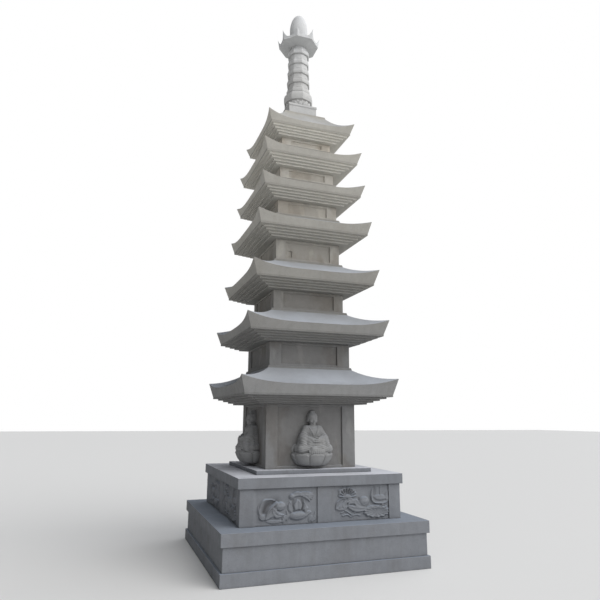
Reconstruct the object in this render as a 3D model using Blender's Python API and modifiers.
"""Stone pagoda: seven square granite storeys on a stepped base, four seated figures and a ringed spire."""
import math
from collections import namedtuple

import bmesh
import bpy
from mathutils import Matrix, Vector

# Driving dimensions, in metres. Heights are above the ground, half-widths are from the axis to a flat side.

# Stones that rest on or against each other are drawn this far apart
JOINT_GAP = 0.0003

# Base courses, each given by its half-width and the height of its top
FOOT_SLAB_HALF = 1.170
FOOT_SLAB_TOP = 0.130
LOWER_PLINTH_HALF = 1.145
LOWER_PLINTH_TOP = 0.364
LOWER_CAP_HALF = 1.170
LOWER_CAP_TOP = 0.493
PEDESTAL_HALF = 0.940
PEDESTAL_TOP = 0.870
PEDESTAL_CAP_HALF = 0.967
PEDESTAL_CAP_TOP = 0.982
STEP_HALF = 0.700
STEP_TOP = 1.027

# Upright slabs of the pedestal: each side is two slabs, and the next side's slab shows its end at the right
PEDESTAL_SLAB_THICKNESS = 0.144
PEDESTAL_PILASTER = 0.143
PEDESTAL_MIDDLE_JOINT = -0.075
PEDESTAL_MIDDLE_PILASTER = 0.170
PEDESTAL_RECESS = 0.025

# A storey's roof is one stone: five stepped courses, a leaning fascia, a hollow slope and a seat for
# the next storey
Storey = namedtuple("Storey", "body_half body_pilaster eave_half eave_bottom eave_thickness tip_half tip_top"
                              " seat_half seat_top")
STOREYS = [
    Storey(0.561, 0.145, 0.911, 1.869, 0.109, 0.966, 2.063, 0.545, 2.210),
    Storey(0.521, 0.148, 0.844, 2.606, 0.087, 0.900, 2.784, 0.510, 2.914),
    Storey(0.467, 0.129, 0.768, 3.260, 0.098, 0.824, 3.438, 0.472, 3.558),
    Storey(0.434, 0.130, 0.720, 3.935, 0.089, 0.763, 4.094, 0.448, 4.180),
    Storey(0.410, 0.140, 0.660, 4.477, 0.066, 0.707, 4.619, 0.415, 4.700),
    Storey(0.380, 0.125, 0.632, 4.955, 0.067, 0.679, 5.097, 0.385, 5.195),
    Storey(0.350, 0.127, 0.564, 5.413, 0.054, 0.612, 5.549, 0.305, 5.760),
]
COURSE_COUNT = 5
COURSE_HEIGHT = 0.0216
SEAT_STEP = 0.030
SEAT_TAPER = 0.008
EAVE_CURVE_POWER = 4.0
SLOPE_POWER_MIDDLE = 1.6
SLOPE_POWER_CORNER = 2.3
EAVE_SEGMENTS = 12
SLOPE_RINGS = 5

# Wall slabs of the two lowest storeys, and the sunk panels of every storey
WALL_THICKNESS = 0.165
SLAB_STOREYS = 2
PANEL_RAIL = 0.028
PANEL_RECESS = 0.020

# Seated figure on a lotus seat, carved on each wall of the lowest storey
SEAT_BOTTOM = 1.062
SEAT_HEIGHT = 0.150
SEAT_TOP_RADIUS = 0.280
SEAT_FOOT_RADIUS = 0.200
SEAT_DEPTH_RATIO = 0.90
SEAT_SIDES = 24
KNEE_HALF = 0.215
KNEE_DEPTH = 0.165
KNEE_HEIGHT = 0.060
KNEE_FORWARD = 0.030
KNEE_RISE = 0.045
TORSO_HALF = 0.112
TORSO_DEPTH = 0.085
TORSO_HEIGHT = 0.150
TORSO_CENTRE = 1.400
SHOULDER_HEIGHT = 1.470
SHOULDER_HALF = 0.128
SHOULDER_DEPTH = 0.066
SHOULDER_THICKNESS = 0.052
ARM_RADIUS = 0.040
ARM_DEPTH = 0.055
ARM_LENGTH = 0.115
ARM_DROP = 0.086
ARM_FORWARD = 0.020
ARM_TILT = 0.18
HAND_CENTRE = 1.315
HAND_FORWARD = 0.085
HAND_RADII = (0.075, 0.045, 0.032)
NECK_RADIUS = 0.030
NECK_HEIGHT = 0.050
HEAD_HALF = 0.050
HEAD_DEPTH = 0.062
HEAD_HEIGHT = 0.070
HEAD_CENTRE = 1.590
TOPKNOT_RADIUS = 0.026
TOPKNOT_CENTRE = 1.664
FIGURE_AXIS = 0.600
BACK_CUTTER_MARGIN = 0.5
BALL_SEGMENTS = 14
BALL_RINGS = 8

# Spire: square block, then eight-sided collar, bowl, rings and neck, an eight-sided canopy and a round jewel.
# An eight-sided stone is given by the distance from the axis to its corners.
BLOCK_HALF = 0.203
BLOCK_TOP = 5.955
BLOCK_LIP = 0.008
BLOCK_LIP_HEIGHT = 0.034
COLLAR_RADIUS = 0.168
COLLAR_WAIST = 0.150
COLLAR_TOP = 6.045
BOWL_RADIUS = 0.218
BOWL_EDGE_ROUNDING = 0.008
BOWL_TOP_RADIUS = 0.182
BOWL_TOP = 6.193
RING_TOPS = (6.351, 6.506, 6.670, 6.834)
RING_RADII = (0.182, 0.176, 0.170, 0.164)
RING_GROOVE = 0.020
RING_FOOT = 0.014
RING_UPRIGHT_SHARE = 0.62
NECK_BOTTOM_RADIUS = 0.157
NECK_TOP_RADIUS = 0.094
NECK_TOP = 6.995
CANOPY_RADIUS = 0.312
CANOPY_UNDERSIDE = 6.990
CANOPY_RIM = 0.034
CANOPY_CHAMFER = 0.014
CANOPY_TOP = 7.110
CANOPY_TOP_RADIUS = 0.150
HORN_RADIUS = 0.042
HORN_TIP_RADIUS = 0.004
HORN_TIP_REACH = 0.300
HORN_BASE_REACH = 0.268
HORN_BASE = 7.002
HORN_TIP = 7.162
JEWEL_FOOT_RADIUS = 0.108
JEWEL_RADIUS = 0.132
JEWEL_WIDEST = 7.320
JEWEL_TOP = 7.560
JEWEL_LOWER_STEPS = 4
JEWEL_UPPER_STEPS = 8
SPIRE_SIDES = 8
HORN_SIDES = 6
ROUND_STEPS = 32

SIDES = ("front", "right", "back", "left")

# Colours measured by eye on the photographed stone
BASE_STONE = (0.250, 0.250, 0.245)
WALL_STONE = (0.290, 0.288, 0.275)
ROOF_STONE = (0.330, 0.335, 0.335)
FIGURE_STONE = (0.270, 0.270, 0.262)
SPIRE_STONE = (0.400, 0.400, 0.395)
STONE_ROUGHNESS = 0.85


def clear_scene():
    for item in list(bpy.data.objects):
        bpy.data.objects.remove(item, do_unlink=True)


def make_collection(name, hidden):
    collection = bpy.data.collections.new(name)
    bpy.context.scene.collection.children.link(collection)
    collection.hide_render = hidden
    return collection


def make_stone(name, colour):
    material = bpy.data.materials.new(name)
    material.use_nodes = True
    shader = material.node_tree.nodes["Principled BSDF"]
    shader.inputs["Base Color"].default_value = (*colour, 1.0)
    shader.inputs["Roughness"].default_value = STONE_ROUGHNESS
    shader.inputs["Metallic"].default_value = 0.0
    material.diffuse_color = (*colour, 1.0)
    return material


clear_scene()
PAGODA = make_collection("stone_pagoda", hidden=False)
CUTTERS = make_collection("cutters", hidden=True)
STONES = {
    "base": make_stone("granite_base", BASE_STONE),
    "wall": make_stone("granite_wall", WALL_STONE),
    "roof": make_stone("granite_roof", ROOF_STONE),
    "figure": make_stone("granite_figure", FIGURE_STONE),
    "spire": make_stone("granite_spire", SPIRE_STONE),
}


def add_object(name, shape, stone=None):
    """Turn a bmesh into a named object: a stone of the pagoda, or a cutter when no stone is given."""
    bmesh.ops.recalc_face_normals(shape, faces=shape.faces)
    mesh = bpy.data.meshes.new(name)
    shape.to_mesh(mesh)
    shape.free()
    item = bpy.data.objects.new(name, mesh)
    if stone is None:
        CUTTERS.objects.link(item)
        item.display_type = "WIRE"
        item.hide_render = True
    else:
        PAGODA.objects.link(item)
        mesh.materials.append(STONES[stone])
    return item


def combine(item, tool, operation):
    modifier = item.modifiers.new(operation.lower(), "BOOLEAN")
    modifier.operation = operation
    modifier.solver = "EXACT"
    modifier.object = tool


def add_box(shape, low, high):
    """Add a box between two opposite corners."""
    size = [high[axis] - low[axis] for axis in range(3)]
    centre = [(high[axis] + low[axis]) / 2 for axis in range(3)]
    place = Matrix.Translation(centre) @ Matrix.Diagonal((*size, 1.0))
    bmesh.ops.create_cube(shape, size=1.0, matrix=place)


def add_ball(shape, centre, radii, tilt=0.0):
    """Add an ellipsoid, tilted sideways about the front-to-back axis."""
    place = Matrix.Translation(centre) @ Matrix.Rotation(tilt, 4, "Y") @ Matrix.Diagonal((*radii, 1.0))
    bmesh.ops.create_uvsphere(shape, u_segments=BALL_SEGMENTS, v_segments=BALL_RINGS, radius=1.0,
                              matrix=place)


def turn_to_side(item, index):
    """Turn a stone modelled on the front to another side of the pagoda."""
    item.rotation_euler = (0.0, 0.0, index * math.pi / 2)


def square_slab(name, half, bottom, top, stone):
    """A square course that lies flat on the one below."""
    shape = bmesh.new()
    add_box(shape, (-half, -half, bottom + JOINT_GAP), (half, half, top))
    return add_object(name, shape, stone)


def build_base():
    square_slab("foot_slab", FOOT_SLAB_HALF, -JOINT_GAP, FOOT_SLAB_TOP, "base")
    square_slab("lower_plinth", LOWER_PLINTH_HALF, FOOT_SLAB_TOP, LOWER_PLINTH_TOP, "base")
    square_slab("lower_cap_slab", LOWER_CAP_HALF, LOWER_PLINTH_TOP, LOWER_CAP_TOP, "base")
    square_slab("pedestal_cap", PEDESTAL_CAP_HALF, PEDESTAL_TOP, PEDESTAL_CAP_TOP, "base")
    square_slab("step_plinth", STEP_HALF, PEDESTAL_CAP_TOP, STEP_TOP, "base")


def wall_slab(name, side, span, depth, heights, panel, recess, stone):
    """An upright slab on one side, with a sunk panel in its outer face.

    span and panel are (left, right) along the side, depth is (outer, inner) distance from the axis,
    heights is (bottom, top, rail), where rail is the flat band above and below the panel. A panel
    without rails is open at its top and foot.
    """
    left, right = span
    outer, inner = depth
    bottom, top, rail = heights
    inset = rail if rail else -recess
    shape = bmesh.new()
    add_box(shape, (left, -outer, bottom + JOINT_GAP), (right, -inner, top))
    slab = add_object(name, shape, stone)
    cutter_shape = bmesh.new()
    panel_low = (panel[0], -outer - recess, bottom + inset)
    panel_high = (panel[1], -outer + recess, top - inset)
    add_box(cutter_shape, panel_low, panel_high)
    cutter = add_object(name + "_panel_cutter", cutter_shape)
    combine(slab, cutter, "DIFFERENCE")
    turn_to_side(slab, side)
    turn_to_side(cutter, side)


def build_pedestal_walls():
    inner = PEDESTAL_HALF - PEDESTAL_SLAB_THICKNESS
    right_end = inner - JOINT_GAP
    depth = (PEDESTAL_HALF, inner)
    heights = (LOWER_CAP_TOP, PEDESTAL_TOP, 0.0)
    past_end = right_end + PEDESTAL_RECESS
    for index, side in enumerate(SIDES):
        left_span = (-PEDESTAL_HALF, PEDESTAL_MIDDLE_JOINT)
        left_panel = (-PEDESTAL_HALF + PEDESTAL_PILASTER, PEDESTAL_MIDDLE_JOINT + PEDESTAL_RECESS)
        wall_slab("pedestal_left_slab_" + side, index, left_span, depth, heights, left_panel,
                  PEDESTAL_RECESS, "base")
        right_span = (PEDESTAL_MIDDLE_JOINT + JOINT_GAP, right_end)
        right_panel = (PEDESTAL_MIDDLE_JOINT + PEDESTAL_MIDDLE_PILASTER, past_end)
        wall_slab("pedestal_right_slab_" + side, index, right_span, depth, heights, right_panel,
                  PEDESTAL_RECESS, "base")


def body_bottom(number):
    """Height of a storey's foot; storeys are numbered from 1."""
    return STEP_TOP if number == 1 else STOREYS[number - 2].seat_top


def body_top(number):
    return STOREYS[number - 1].eave_bottom - COURSE_COUNT * COURSE_HEIGHT


def build_slab_storey(number):
    """Four wall slabs in a ring, each butting against the inner face of the next."""
    storey = STOREYS[number - 1]
    inner = storey.body_half - WALL_THICKNESS
    span = (-storey.body_half, inner - JOINT_GAP)
    depth = (storey.body_half, inner)
    heights = (body_bottom(number), body_top(number), PANEL_RAIL)
    panel = (-storey.body_half + storey.body_pilaster, inner + PANEL_RECESS)
    for index, side in enumerate(SIDES):
        name = "storey_%d_wall_%s" % (number, side)
        wall_slab(name, index, span, depth, heights, panel, PANEL_RECESS, "wall")


def build_block_storey(number):
    """One square stone with a sunk panel on each side."""
    storey = STOREYS[number - 1]
    half = storey.body_half
    block = square_slab("storey_%d_block" % number, half, body_bottom(number), body_top(number), "wall")
    panel_half = half - storey.body_pilaster
    low = body_bottom(number) + PANEL_RAIL
    high = body_top(number) - PANEL_RAIL
    cutter_shape = bmesh.new()
    for face in (-half, half):
        inner, outer = face - PANEL_RECESS, face + PANEL_RECESS
        add_box(cutter_shape, (-panel_half, inner, low), (panel_half, outer, high))
        add_box(cutter_shape, (inner, -panel_half, low), (outer, panel_half, high))
    combine(block, add_object("storey_%d_panel_cutter" % number, cutter_shape), "DIFFERENCE")


def square_ring(shape, half, height):
    """Four corner vertices of a level square, starting at the front left corner."""
    corners = ((-half, -half), (half, -half), (half, half), (-half, half))
    return [shape.verts.new((x, y, height)) for x, y in corners]


def eave_ring(shape, place):
    """A ring of vertices around the roof; place gives (half-width, height) for a spot along a side."""
    ring = []
    for side in range(4):
        turn = Matrix.Rotation(side * math.pi / 2, 3, "Z")
        for step in range(EAVE_SEGMENTS):
            along = -1.0 + 2.0 * step / EAVE_SEGMENTS
            half, height = place(along)
            ring.append(shape.verts.new(turn @ Vector((along * half, -half, height))))
    return ring


def join_rings(shape, lower, upper):
    count = len(lower)
    for index in range(count):
        following = (index + 1) % count
        shape.faces.new((lower[index], lower[following], upper[following], upper[index]))


def fascia_faces(shape, corners, eave):
    """One flat leaning face a side, from the straight bottom edge to the curved eave."""
    for side in range(4):
        first = side * EAVE_SEGMENTS
        top = [eave[(first + step) % len(eave)] for step in range(EAVE_SEGMENTS + 1)]
        shape.faces.new([corners[side], corners[(side + 1) % 4]] + top[::-1])


def stepped_courses(shape, storey, bottom):
    """The corbelled underside; returns the last ring, at the fascia's bottom edge."""
    ring = None
    spread = (storey.eave_half - storey.body_half) / (COURSE_COUNT + 1)
    for course in range(COURSE_COUNT):
        half = storey.body_half + (course + 1) * spread
        height = bottom + course * COURSE_HEIGHT
        low = square_ring(shape, half, height + (JOINT_GAP if course == 0 else 0.0))
        high = square_ring(shape, half, height + COURSE_HEIGHT)
        if ring is None:
            shape.faces.new(low[::-1])
        else:
            join_rings(shape, ring, low)
        join_rings(shape, low, high)
        ring = high
    fascia = square_ring(shape, storey.eave_half, storey.eave_bottom)
    join_rings(shape, ring, fascia)
    return fascia


def build_roof(number):
    storey = STOREYS[number - 1]
    lean = (storey.tip_half - storey.eave_half) / (storey.tip_top - storey.eave_bottom)
    middle = storey.eave_bottom + storey.eave_thickness
    sag = storey.tip_top - middle
    seat_bottom = storey.seat_top - SEAT_STEP

    def slope_place(inward):
        def place(along):
            reach = abs(along)
            edge_height = middle + sag * reach ** EAVE_CURVE_POWER
            edge_half = storey.eave_half + lean * (edge_height - storey.eave_bottom)
            power = SLOPE_POWER_MIDDLE + (SLOPE_POWER_CORNER - SLOPE_POWER_MIDDLE) * reach
            half = edge_half + (storey.seat_half - edge_half) * inward
            return half, edge_height + (seat_bottom - edge_height) * inward ** power
        return place

    shape = bmesh.new()
    fascia = stepped_courses(shape, storey, body_top(number))
    ring = eave_ring(shape, slope_place(0.0))
    fascia_faces(shape, fascia, ring)
    for step in range(1, SLOPE_RINGS + 1):
        following = eave_ring(shape, slope_place(step / SLOPE_RINGS))
        join_rings(shape, ring, following)
        ring = following
    seat = eave_ring(shape, lambda along: (storey.seat_half - SEAT_TAPER, storey.seat_top))
    join_rings(shape, ring, seat)
    shape.faces.new(seat)
    add_object("roof_%d" % number, shape, "roof")


def figure_parts(wall):
    """The balls that make up a seated figure, as (centre, radii, tilt)."""
    knee_centre = SEAT_BOTTOM + SEAT_HEIGHT + KNEE_RISE
    neck_centre = HEAD_CENTRE - HEAD_HEIGHT
    parts = [
        ((0, -wall - KNEE_FORWARD, knee_centre), (KNEE_HALF, KNEE_DEPTH, KNEE_HEIGHT), 0.0),
        ((0, -FIGURE_AXIS, TORSO_CENTRE), (TORSO_HALF, TORSO_DEPTH, TORSO_HEIGHT), 0.0),
        ((0, -FIGURE_AXIS, SHOULDER_HEIGHT), (SHOULDER_HALF, SHOULDER_DEPTH, SHOULDER_THICKNESS), 0.0),
        ((0, -FIGURE_AXIS - HAND_FORWARD, HAND_CENTRE), HAND_RADII, 0.0),
        ((0, -FIGURE_AXIS, neck_centre), (NECK_RADIUS, NECK_RADIUS, NECK_HEIGHT), 0.0),
        ((0, -FIGURE_AXIS, HEAD_CENTRE), (HEAD_HALF, HEAD_DEPTH, HEAD_HEIGHT), 0.0),
        ((0, -FIGURE_AXIS, TOPKNOT_CENTRE), (TOPKNOT_RADIUS, TOPKNOT_RADIUS, TOPKNOT_RADIUS), 0.0),
    ]
    for direction in (-1, 1):
        arm_side = direction * (SHOULDER_HALF - ARM_RADIUS / 2)
        centre = (arm_side, -FIGURE_AXIS - ARM_FORWARD, SHOULDER_HEIGHT - ARM_DROP)
        parts.append((centre, (ARM_RADIUS, ARM_DEPTH, ARM_LENGTH), -direction * ARM_TILT))
    return parts


def build_figure(side, index):
    wall = STOREYS[0].body_half - PANEL_RECESS
    shape = bmesh.new()
    place = Matrix.Translation((0, -wall, SEAT_BOTTOM + SEAT_HEIGHT / 2))
    place = place @ Matrix.Diagonal((1.0, SEAT_DEPTH_RATIO, 1.0, 1.0))
    bmesh.ops.create_cone(shape, cap_ends=True, segments=SEAT_SIDES, radius1=SEAT_FOOT_RADIUS,
                          radius2=SEAT_TOP_RADIUS, depth=SEAT_HEIGHT, matrix=place)
    figure = add_object("seated_figure_" + side, shape, "figure")
    turn_to_side(figure, index)
    for number, (centre, radii, tilt) in enumerate(figure_parts(wall)):
        ball_shape = bmesh.new()
        add_ball(ball_shape, centre, radii, tilt)
        ball = add_object("figure_%s_part_%d" % (side, number), ball_shape)
        turn_to_side(ball, index)
        combine(figure, ball, "UNION")
    back_shape = bmesh.new()
    margin = BACK_CUTTER_MARGIN
    back_low = (-margin, -wall - JOINT_GAP, SEAT_BOTTOM - margin)
    add_box(back_shape, back_low, (margin, 0.0, TOPKNOT_CENTRE + margin))
    back = add_object("figure_%s_back_cutter" % side, back_shape)
    turn_to_side(back, index)
    combine(figure, back, "DIFFERENCE")


def turned_stone(name, profile, sides, crown=None):
    """A stone turned about the axis from an outline of (radius, height) points, bottom to top.

    sides is how many flat sides it has, and crown the height of the middle of its top, where that isn't flat.
    """
    mesh = bpy.data.meshes.new(name)
    points = [(0.0, 0.0, profile[0][1])]
    points += [(radius, 0.0, height) for radius, height in profile]
    points.append((0.0, 0.0, profile[-1][1] if crown is None else crown))
    mesh.from_pydata(points, [(spot, spot + 1) for spot in range(len(points) - 1)], [])
    mesh.materials.append(STONES["spire"])
    item = bpy.data.objects.new(name, mesh)
    PAGODA.objects.link(item)
    screw = item.modifiers.new("turn", "SCREW")
    screw.axis = "Z"
    screw.steps = sides
    screw.render_steps = sides
    screw.use_merge_vertices = True
    screw.merge_threshold = 0.0001
    screw.use_normal_calculate = True
    screw.use_smooth_shade = sides == ROUND_STEPS
    return item


def build_spire_block():
    block = square_slab("spire_block", BLOCK_HALF, STOREYS[-1].seat_top, BLOCK_TOP, "spire")
    lip_shape = bmesh.new()
    reach = BLOCK_HALF + BLOCK_LIP
    add_box(lip_shape, (-reach, -reach, BLOCK_TOP - BLOCK_LIP_HEIGHT), (reach, reach, BLOCK_TOP))
    combine(block, add_object("spire_block_lip", lip_shape), "UNION")


def build_spire_bowl():
    rise = BOWL_TOP - COLLAR_TOP
    profile = [
        (COLLAR_RADIUS, BLOCK_TOP + JOINT_GAP),
        (COLLAR_WAIST, BLOCK_TOP + 0.5 * (COLLAR_TOP - BLOCK_TOP)),
        (COLLAR_RADIUS, COLLAR_TOP),
        (BOWL_RADIUS - BOWL_EDGE_ROUNDING, COLLAR_TOP + 0.10 * rise),
        (BOWL_RADIUS, COLLAR_TOP + 0.30 * rise),
        (BOWL_RADIUS - BOWL_EDGE_ROUNDING, COLLAR_TOP + 0.55 * rise),
        (BOWL_TOP_RADIUS, COLLAR_TOP + 0.84 * rise),
        (BOWL_TOP_RADIUS - RING_GROOVE, BOWL_TOP),
    ]
    turned_stone("spire_lotus_bowl", profile, SPIRE_SIDES)


def build_spire_rings():
    bottom = BOWL_TOP
    for number, (top, radius) in enumerate(zip(RING_TOPS, RING_RADII), start=1):
        profile = [
            (radius - RING_GROOVE, bottom + JOINT_GAP),
            (radius, bottom + RING_FOOT),
            (radius, bottom + RING_UPRIGHT_SHARE * (top - bottom)),
            (radius - RING_GROOVE, top),
        ]
        turned_stone("spire_ring_%d" % number, profile, SPIRE_SIDES)
        bottom = top


def add_eight_sided(shape, low_radius, high_radius, low, high):
    """Add an eight-sided frustum whose flat sides face the pagoda's four sides."""
    place = Matrix.Translation((0, 0, (low + high) / 2)) @ Matrix.Rotation(math.pi / SPIRE_SIDES, 4, "Z")
    bmesh.ops.create_cone(shape, cap_ends=True, segments=SPIRE_SIDES, radius1=low_radius,
                          radius2=high_radius, depth=high - low, matrix=place)


def build_canopy():
    """The neck with an eight-sided lotus canopy on top, its corners turned up into points."""
    neck_bottom = RING_TOPS[-1] + JOINT_GAP
    profile = [
        (NECK_BOTTOM_RADIUS - RING_GROOVE, neck_bottom),
        (NECK_BOTTOM_RADIUS, neck_bottom + RING_FOOT),
        (NECK_TOP_RADIUS, NECK_TOP),
    ]
    canopy = turned_stone("spire_canopy", profile, SPIRE_SIDES)
    rim_top = CANOPY_UNDERSIDE + CANOPY_RIM
    rim_shape = bmesh.new()
    add_eight_sided(rim_shape, CANOPY_RADIUS - CANOPY_CHAMFER, CANOPY_RADIUS, CANOPY_UNDERSIDE, rim_top)
    combine(canopy, add_object("canopy_rim", rim_shape), "UNION")
    crown_shape = bmesh.new()
    crown_low = rim_top - 10 * JOINT_GAP
    add_eight_sided(crown_shape, CANOPY_RADIUS - CANOPY_CHAMFER, CANOPY_TOP_RADIUS, crown_low, CANOPY_TOP)
    combine(canopy, add_object("canopy_crown", crown_shape), "UNION")
    lean = math.atan2(HORN_TIP_REACH - HORN_BASE_REACH, HORN_TIP - HORN_BASE)
    middle = Vector(((HORN_TIP_REACH + HORN_BASE_REACH) / 2, 0.0, (HORN_TIP + HORN_BASE) / 2))
    for corner in range(SPIRE_SIDES):
        horn_shape = bmesh.new()
        place = Matrix.Rotation((2 * corner + 1) * math.pi / SPIRE_SIDES, 4, "Z") @ Matrix.Translation(middle)
        place = place @ Matrix.Rotation(lean, 4, "Y")
        bmesh.ops.create_cone(horn_shape, cap_ends=True, segments=HORN_SIDES, radius1=HORN_RADIUS,
                              radius2=HORN_TIP_RADIUS, depth=HORN_TIP - HORN_BASE, matrix=place)
        combine(canopy, add_object("canopy_horn_%d" % corner, horn_shape), "UNION")


def build_jewel():
    foot = CANOPY_TOP + JOINT_GAP
    profile = [(JEWEL_FOOT_RADIUS, foot)]
    for step in range(1, JEWEL_LOWER_STEPS + 1):
        share = step / JEWEL_LOWER_STEPS
        height = foot + (JEWEL_WIDEST - foot) * share
        radius = JEWEL_FOOT_RADIUS + (JEWEL_RADIUS - JEWEL_FOOT_RADIUS) * math.sin(share * math.pi / 2)
        profile.append((radius, height))
    for step in range(1, JEWEL_UPPER_STEPS):
        angle = step / JEWEL_UPPER_STEPS * math.pi / 2
        height = JEWEL_WIDEST + (JEWEL_TOP - JEWEL_WIDEST) * math.sin(angle)
        profile.append((JEWEL_RADIUS * math.cos(angle), height))
    turned_stone("spire_jewel", profile, ROUND_STEPS, crown=JEWEL_TOP)


build_base()
build_pedestal_walls()
for storey_number in range(1, len(STOREYS) + 1):
    if storey_number <= SLAB_STOREYS:
        build_slab_storey(storey_number)
    else:
        build_block_storey(storey_number)
    build_roof(storey_number)
for side_index, side_name in enumerate(SIDES):
    build_figure(side_name, side_index)
build_spire_block()
build_spire_bowl()
build_spire_rings()
build_canopy()
build_jewel()
